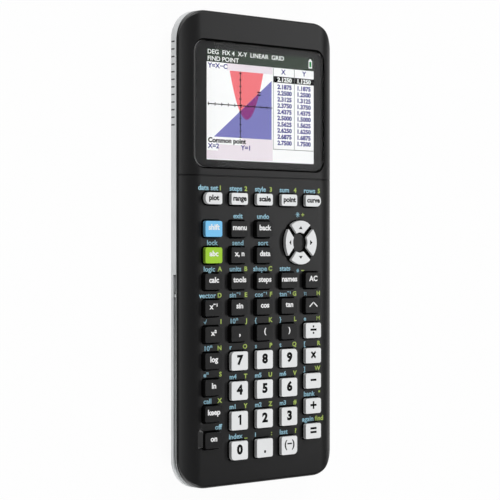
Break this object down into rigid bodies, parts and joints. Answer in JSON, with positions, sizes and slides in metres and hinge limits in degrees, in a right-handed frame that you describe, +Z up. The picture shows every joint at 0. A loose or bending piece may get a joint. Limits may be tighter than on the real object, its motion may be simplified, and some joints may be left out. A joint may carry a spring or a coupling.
{
  "type": "graphing calculator",
  "caption": "Hand-held graphing calculator with a colour display window above a keypad of separate press keys and a round arrow pad, in a black front and silver rear shell.",
  "frame": {"origin": "centre of the footprint, on the table that the calculator lies on", "axes": "+X to the right and +Y towards the display end seen from the front, +Z up out of the keys"},
  "size_m": [0.0868, 0.1906, 0.0172],
  "materials": {
    "front_black": "fine satin black moulding",
    "shell_silver": "satin silver-grey moulding",
    "window_gloss": "glossy acrylic with a black printed border",
    "lcd": "backlit colour display",
    "silicone": "matte silicone rubber",
    "board": "green solder mask on glass epoxy",
    "socket_steel": "tinned steel shell",
    "battery_wrap": "shrink wrap",
    "screw_steel": "zinc-plated",
    "key_black": "satin black",
    "key_white": "satin white",
    "key_blue": "satin light blue",
    "key_green": "satin yellow-green"
  },
  "bodies": {
    "case": {"front_case": "front_black", "rear_case": "shell_silver", "display_window": "window_gloss", "lcd_module": "lcd", "key_membrane": "silicone", "circuit_board": "board", "io_sockets": "socket_steel", "battery": "battery_wrap", "battery_door": "shell_silver", "case_screws": "screw_steel"},
    "key_f1": {"key_f1": "key_white"},
    "key_f2": {"key_f2": "key_white"},
    "key_f3": {"key_f3": "key_white"},
    "key_f4": {"key_f4": "key_white"},
    "key_f5": {"key_f5": "key_white"},
    "key_shift": {"key_shift": "key_blue"},
    "key_menu": {"key_menu": "key_black"},
    "key_delete": {"key_delete": "key_black"},
    "key_letters": {"key_letters": "key_green"},
    "key_variable": {"key_variable": "key_black"},
    "key_list": {"key_list": "key_black"},
    "key_factorial": {"key_factorial": "key_black"},
    "key_function": {"key_function": "key_black"},
    "key_program": {"key_program": "key_black"},
    "key_recall": {"key_recall": "key_black"},
    "key_clear": {"key_clear": "key_black"},
    "key_inverse": {"key_inverse": "key_black"},
    "key_sine": {"key_sine": "key_black"},
    "key_cosine": {"key_cosine": "key_black"},
    "key_tangent": {"key_tangent": "key_black"},
    "key_power": {"key_power": "key_black"},
    "key_square": {"key_square": "key_black"},
    "key_comma": {"key_comma": "key_black"},
    "key_open_bracket": {"key_open_bracket": "key_black"},
    "key_close_bracket": {"key_close_bracket": "key_black"},
    "key_divide": {"key_divide": "key_white"},
    "key_log": {"key_log": "key_black"},
    "key_multiply": {"key_multiply": "key_white"},
    "key_ln": {"key_ln": "key_black"},
    "key_subtract": {"key_subtract": "key_white"},
    "key_store": {"key_store": "key_black"},
    "key_add": {"key_add": "key_white"},
    "key_on": {"key_on": "key_black"},
    "key_equals": {"key_equals": "key_white"},
    "key_7": {"key_7": "key_white"},
    "key_8": {"key_8": "key_white"},
    "key_9": {"key_9": "key_white"},
    "key_4": {"key_4": "key_white"},
    "key_5": {"key_5": "key_white"},
    "key_6": {"key_6": "key_white"},
    "key_1": {"key_1": "key_white"},
    "key_2": {"key_2": "key_white"},
    "key_3": {"key_3": "key_white"},
    "key_0": {"key_0": "key_white"},
    "key_point": {"key_point": "key_white"},
    "key_negative": {"key_negative": "key_white"},
    "key_right": {"key_right": "key_white"},
    "key_up": {"key_up": "key_white"},
    "key_left": {"key_left": "key_white"},
    "key_down": {"key_down": "key_white"}
  },
  "joints": [
    {"name": "press_f1", "type": "slide", "parent": "case", "child": "key_f1", "axis": [0, 0, -1], "range_m": [0, 0.0012], "stiffness_N_per_m": 500},
    {"name": "press_f2", "type": "slide", "parent": "case", "child": "key_f2", "axis": [0, 0, -1], "range_m": [0, 0.0012], "stiffness_N_per_m": 500},
    {"name": "press_f3", "type": "slide", "parent": "case", "child": "key_f3", "axis": [0, 0, -1], "range_m": [0, 0.0012], "stiffness_N_per_m": 500},
    {"name": "press_f4", "type": "slide", "parent": "case", "child": "key_f4", "axis": [0, 0, -1], "range_m": [0, 0.0012], "stiffness_N_per_m": 500},
    {"name": "press_f5", "type": "slide", "parent": "case", "child": "key_f5", "axis": [0, 0, -1], "range_m": [0, 0.0012], "stiffness_N_per_m": 500},
    {"name": "press_shift", "type": "slide", "parent": "case", "child": "key_shift", "axis": [0, 0, -1], "range_m": [0, 0.0012], "stiffness_N_per_m": 500},
    {"name": "press_menu", "type": "slide", "parent": "case", "child": "key_menu", "axis": [0, 0, -1], "range_m": [0, 0.0012], "stiffness_N_per_m": 500},
    {"name": "press_delete", "type": "slide", "parent": "case", "child": "key_delete", "axis": [0, 0, -1], "range_m": [0, 0.0012], "stiffness_N_per_m": 500},
    {"name": "press_letters", "type": "slide", "parent": "case", "child": "key_letters", "axis": [0, 0, -1], "range_m": [0, 0.0012], "stiffness_N_per_m": 500},
    {"name": "press_variable", "type": "slide", "parent": "case", "child": "key_variable", "axis": [0, 0, -1], "range_m": [0, 0.0012], "stiffness_N_per_m": 500},
    {"name": "press_list", "type": "slide", "parent": "case", "child": "key_list", "axis": [0, 0, -1], "range_m": [0, 0.0012], "stiffness_N_per_m": 500},
    {"name": "press_factorial", "type": "slide", "parent": "case", "child": "key_factorial", "axis": [0, 0, -1], "range_m": [0, 0.0012], "stiffness_N_per_m": 500},
    {"name": "press_function", "type": "slide", "parent": "case", "child": "key_function", "axis": [0, 0, -1], "range_m": [0, 0.0012], "stiffness_N_per_m": 500},
    {"name": "press_program", "type": "slide", "parent": "case", "child": "key_program", "axis": [0, 0, -1], "range_m": [0, 0.0012], "stiffness_N_per_m": 500},
    {"name": "press_recall", "type": "slide", "parent": "case", "child": "key_recall", "axis": [0, 0, -1], "range_m": [0, 0.0012], "stiffness_N_per_m": 500},
    {"name": "press_clear", "type": "slide", "parent": "case", "child": "key_clear", "axis": [0, 0, -1], "range_m": [0, 0.0012], "stiffness_N_per_m": 500},
    {"name": "press_inverse", "type": "slide", "parent": "case", "child": "key_inverse", "axis": [0, 0, -1], "range_m": [0, 0.0012], "stiffness_N_per_m": 500},
    {"name": "press_sine", "type": "slide", "parent": "case", "child": "key_sine", "axis": [0, 0, -1], "range_m": [0, 0.0012], "stiffness_N_per_m": 500},
    {"name": "press_cosine", "type": "slide", "parent": "case", "child": "key_cosine", "axis": [0, 0, -1], "range_m": [0, 0.0012], "stiffness_N_per_m": 500},
    {"name": "press_tangent", "type": "slide", "parent": "case", "child": "key_tangent", "axis": [0, 0, -1], "range_m": [0, 0.0012], "stiffness_N_per_m": 500},
    {"name": "press_power", "type": "slide", "parent": "case", "child": "key_power", "axis": [0, 0, -1], "range_m": [0, 0.0012], "stiffness_N_per_m": 500},
    {"name": "press_square", "type": "slide", "parent": "case", "child": "key_square", "axis": [0, 0, -1], "range_m": [0, 0.0012], "stiffness_N_per_m": 500},
    {"name": "press_comma", "type": "slide", "parent": "case", "child": "key_comma", "axis": [0, 0, -1], "range_m": [0, 0.0012], "stiffness_N_per_m": 500},
    {"name": "press_open_bracket", "type": "slide", "parent": "case", "child": "key_open_bracket", "axis": [0, 0, -1], "range_m": [0, 0.0012], "stiffness_N_per_m": 500},
    {"name": "press_close_bracket", "type": "slide", "parent": "case", "child": "key_close_bracket", "axis": [0, 0, -1], "range_m": [0, 0.0012], "stiffness_N_per_m": 500},
    {"name": "press_divide", "type": "slide", "parent": "case", "child": "key_divide", "axis": [0, 0, -1], "range_m": [0, 0.0012], "stiffness_N_per_m": 500},
    {"name": "press_log", "type": "slide", "parent": "case", "child": "key_log", "axis": [0, 0, -1], "range_m": [0, 0.0012], "stiffness_N_per_m": 500},
    {"name": "press_multiply", "type": "slide", "parent": "case", "child": "key_multiply", "axis": [0, 0, -1], "range_m": [0, 0.0012], "stiffness_N_per_m": 500},
    {"name": "press_ln", "type": "slide", "parent": "case", "child": "key_ln", "axis": [0, 0, -1], "range_m": [0, 0.0012], "stiffness_N_per_m": 500},
    {"name": "press_subtract", "type": "slide", "parent": "case", "child": "key_subtract", "axis": [0, 0, -1], "range_m": [0, 0.0012], "stiffness_N_per_m": 500},
    {"name": "press_store", "type": "slide", "parent": "case", "child": "key_store", "axis": [0, 0, -1], "range_m": [0, 0.0012], "stiffness_N_per_m": 500},
    {"name": "press_add", "type": "slide", "parent": "case", "child": "key_add", "axis": [0, 0, -1], "range_m": [0, 0.0012], "stiffness_N_per_m": 500},
    {"name": "press_on", "type": "slide", "parent": "case", "child": "key_on", "axis": [0, 0, -1], "range_m": [0, 0.0012], "stiffness_N_per_m": 500},
    {"name": "press_equals", "type": "slide", "parent": "case", "child": "key_equals", "axis": [0, 0, -1], "range_m": [0, 0.0012], "stiffness_N_per_m": 500},
    {"name": "press_7", "type": "slide", "parent": "case", "child": "key_7", "axis": [0, 0, -1], "range_m": [0, 0.0012], "stiffness_N_per_m": 500},
    {"name": "press_8", "type": "slide", "parent": "case", "child": "key_8", "axis": [0, 0, -1], "range_m": [0, 0.0012], "stiffness_N_per_m": 500},
    {"name": "press_9", "type": "slide", "parent": "case", "child": "key_9", "axis": [0, 0, -1], "range_m": [0, 0.0012], "stiffness_N_per_m": 500},
    {"name": "press_4", "type": "slide", "parent": "case", "child": "key_4", "axis": [0, 0, -1], "range_m": [0, 0.0012], "stiffness_N_per_m": 500},
    {"name": "press_5", "type": "slide", "parent": "case", "child": "key_5", "axis": [0, 0, -1], "range_m": [0, 0.0012], "stiffness_N_per_m": 500},
    {"name": "press_6", "type": "slide", "parent": "case", "child": "key_6", "axis": [0, 0, -1], "range_m": [0, 0.0012], "stiffness_N_per_m": 500},
    {"name": "press_1", "type": "slide", "parent": "case", "child": "key_1", "axis": [0, 0, -1], "range_m": [0, 0.0012], "stiffness_N_per_m": 500},
    {"name": "press_2", "type": "slide", "parent": "case", "child": "key_2", "axis": [0, 0, -1], "range_m": [0, 0.0012], "stiffness_N_per_m": 500},
    {"name": "press_3", "type": "slide", "parent": "case", "child": "key_3", "axis": [0, 0, -1], "range_m": [0, 0.0012], "stiffness_N_per_m": 500},
    {"name": "press_0", "type": "slide", "parent": "case", "child": "key_0", "axis": [0, 0, -1], "range_m": [0, 0.0012], "stiffness_N_per_m": 500},
    {"name": "press_point", "type": "slide", "parent": "case", "child": "key_point", "axis": [0, 0, -1], "range_m": [0, 0.0012], "stiffness_N_per_m": 500},
    {"name": "press_negative", "type": "slide", "parent": "case", "child": "key_negative", "axis": [0, 0, -1], "range_m": [0, 0.0012], "stiffness_N_per_m": 500},
    {"name": "press_right", "type": "slide", "parent": "case", "child": "key_right", "axis": [0, 0, -1], "range_m": [0, 0.0012], "stiffness_N_per_m": 500},
    {"name": "press_up", "type": "slide", "parent": "case", "child": "key_up", "axis": [0, 0, -1], "range_m": [0, 0.0012], "stiffness_N_per_m": 500},
    {"name": "press_left", "type": "slide", "parent": "case", "child": "key_left", "axis": [0, 0, -1], "range_m": [0, 0.0012], "stiffness_N_per_m": 500},
    {"name": "press_down", "type": "slide", "parent": "case", "child": "key_down", "axis": [0, 0, -1], "range_m": [0, 0.0012], "stiffness_N_per_m": 500}
  ]
}
